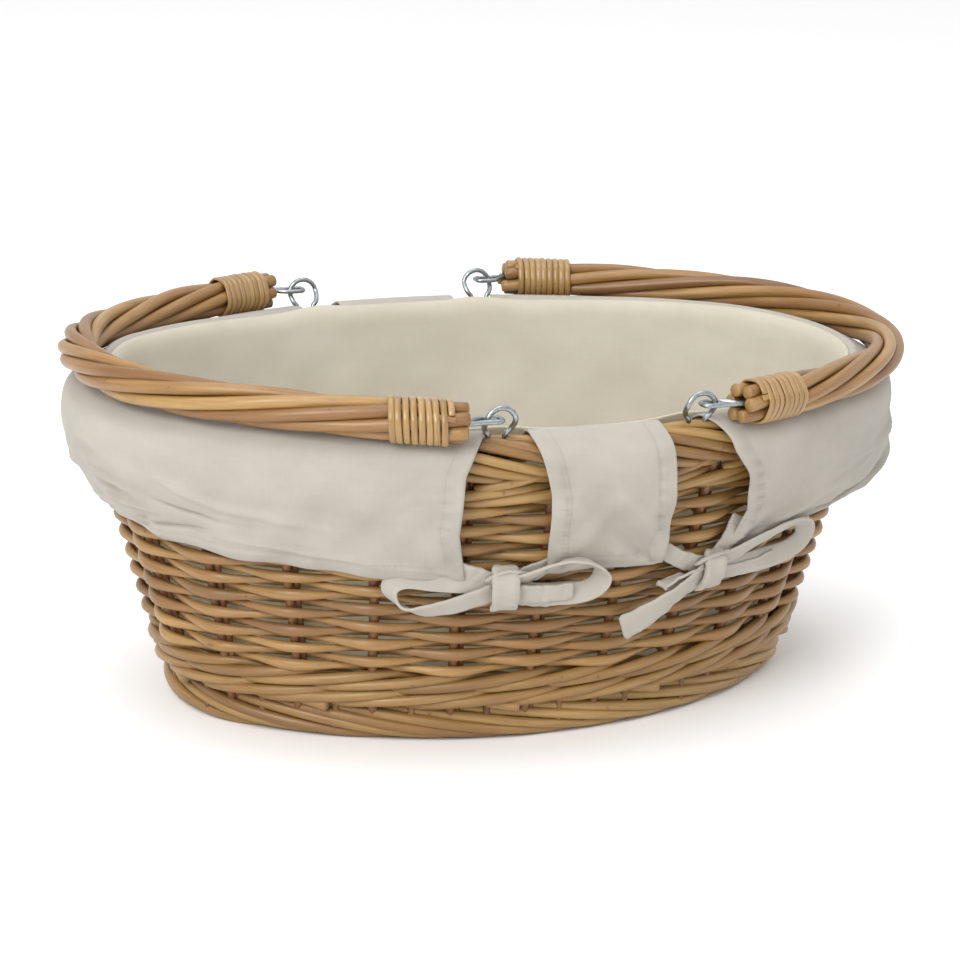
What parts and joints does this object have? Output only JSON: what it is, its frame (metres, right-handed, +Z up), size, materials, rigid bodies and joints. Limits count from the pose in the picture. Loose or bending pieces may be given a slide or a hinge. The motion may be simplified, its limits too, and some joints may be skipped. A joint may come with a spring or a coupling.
{
  "type": "oval willow basket with swing handles and tied fabric lining",
  "caption": "Oval woven willow basket with a fabric lining folded over its rim and tied through side slots, and two roped rod handles that swing on wire links.",
  "frame": {"origin": "on the floor at the middle of the base", "axes": "+Z up, X along the basket's length, -Y the front in the view the basket is usually shown from"},
  "size_m": [0.4834, 0.3416, 0.1994],
  "materials": {
    "willow_base": "peeled boiled willow, satin",
    "willow_stakes": "peeled boiled willow, satin",
    "willow_border": "peeled boiled willow, satin varnish",
    "willow_wale": "peeled boiled willow, satin varnish",
    "willow_siding": "peeled boiled willow, satin varnish",
    "willow_handle": "peeled boiled willow, satin varnish",
    "cane_binding": "split cane, satin",
    "galvanised_wire": "galvanised, semi-gloss",
    "lining_cotton": "plain woven cotton, matt",
    "skirt_cotton": "plain woven cotton, matt",
    "tie_cotton": "folded plain woven cotton, matt"
  },
  "bodies": {
    "basket": {"base_sticks": "willow_base", "base_weave": "willow_base", "foot_stakes": "willow_stakes", "foot_border": "willow_border", "lower_wale": "willow_wale", "side_stakes": "willow_stakes", "siding": "willow_siding", "upper_wale": "willow_wale", "rim_border": "willow_border", "rim_eyes": "galvanised_wire", "liner_floor": "lining_cotton", "liner_wall": "lining_cotton", "liner_skirt_left": "skirt_cotton", "liner_skirt_right": "skirt_cotton", "liner_skirt_front": "skirt_cotton", "liner_skirt_back": "skirt_cotton", "tie_front_left_outer": "tie_cotton", "tie_front_left_inner": "tie_cotton", "tie_front_right_outer": "tie_cotton", "tie_front_right_inner": "tie_cotton", "tie_back_left_outer": "tie_cotton", "tie_back_left_inner": "tie_cotton", "tie_back_right_outer": "tie_cotton", "tie_back_right_inner": "tie_cotton"},
    "left_handle": {"left_handle_core": "willow_handle", "left_handle_rods": "willow_handle", "left_handle_binding_front": "cane_binding", "left_handle_binding_back": "cane_binding", "left_handle_links": "galvanised_wire"},
    "right_handle": {"right_handle_core": "willow_handle", "right_handle_rods": "willow_handle", "right_handle_binding_front": "cane_binding", "right_handle_binding_back": "cane_binding", "right_handle_links": "galvanised_wire"}
  },
  "joints": [
    {"name": "left_handle_swing", "type": "hinge", "parent": "basket", "child": "left_handle", "pos_m": [-0.055, 0, 0.187], "axis": [0, 1, 0], "range_deg": [0, 104]},
    {"name": "right_handle_swing", "type": "hinge", "parent": "basket", "child": "right_handle", "pos_m": [0.055, 0, 0.187], "axis": [0, -1, 0], "range_deg": [0, 104]}
  ]
}
